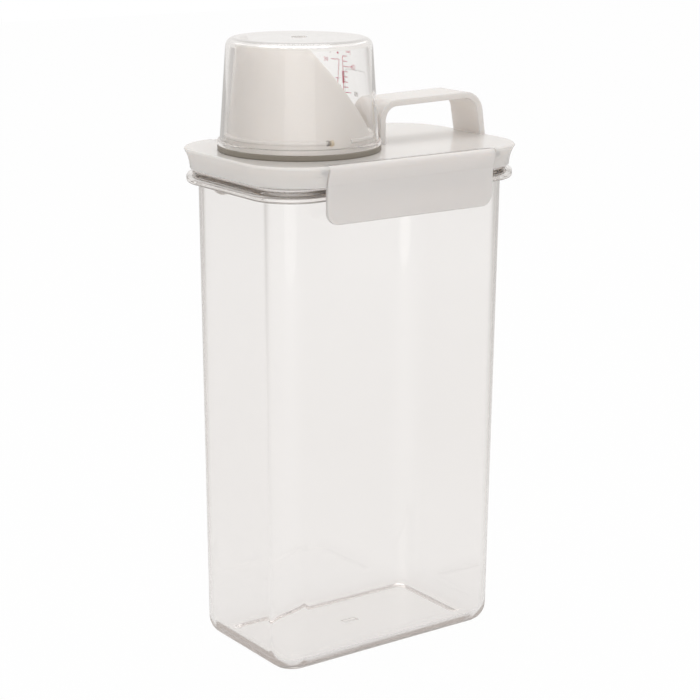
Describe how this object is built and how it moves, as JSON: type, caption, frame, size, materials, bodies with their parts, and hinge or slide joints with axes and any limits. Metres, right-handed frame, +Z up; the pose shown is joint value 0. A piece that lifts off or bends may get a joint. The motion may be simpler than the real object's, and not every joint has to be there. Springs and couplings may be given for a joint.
{
  "type": "measuring dispenser bottle",
  "caption": "Clear rectangular storage container with a white locking lid, a strap handle, a slanted pouring spout and a clear measuring cup as its cap.",
  "frame": {"origin": "centre of the container's base, on the surface it stands on", "axes": "+Z up, +X towards the handle, -X towards the spout, -Y and +Y towards the two locking flaps"},
  "size_m": [0.1408, 0.0958, 0.2812],
  "materials": {
    "clear_body": "clear, glossy moulded",
    "white_lid": "white, glossy moulded",
    "lid_silicone": "matt translucent silicone",
    "grey_silicone": "matt warm grey silicone",
    "clear_cup": "clear, glossy moulded",
    "white_flap": "white, satin moulded"
  },
  "bodies": {
    "container": {"container": "clear_body"},
    "lid": {"lid": "white_lid", "lid_seal": "lid_silicone", "spout_seal": "grey_silicone"},
    "cup": {"measuring_cup": "clear_cup"},
    "front_flap": {"front_flap": "white_flap"},
    "back_flap": {"back_flap": "white_flap"}
  },
  "joints": [
    {"name": "lid_lift", "type": "slide", "parent": "container", "child": "lid", "axis": [0, 0, 1], "range_m": [0, 0.06]},
    {"name": "cup_lift", "type": "slide", "parent": "lid", "child": "cup", "axis": [0, 0, 1], "range_m": [0, 0.065]},
    {"name": "front_flap_hinge", "type": "hinge", "parent": "lid", "child": "front_flap", "pos_m": [0, -0.0456, 0.2296], "axis": [-1, 0, 0], "range_deg": [0, 150]},
    {"name": "back_flap_hinge", "type": "hinge", "parent": "lid", "child": "back_flap", "pos_m": [0, 0.0456, 0.2296], "axis": [1, 0, 0], "range_deg": [0, 150]}
  ]
}
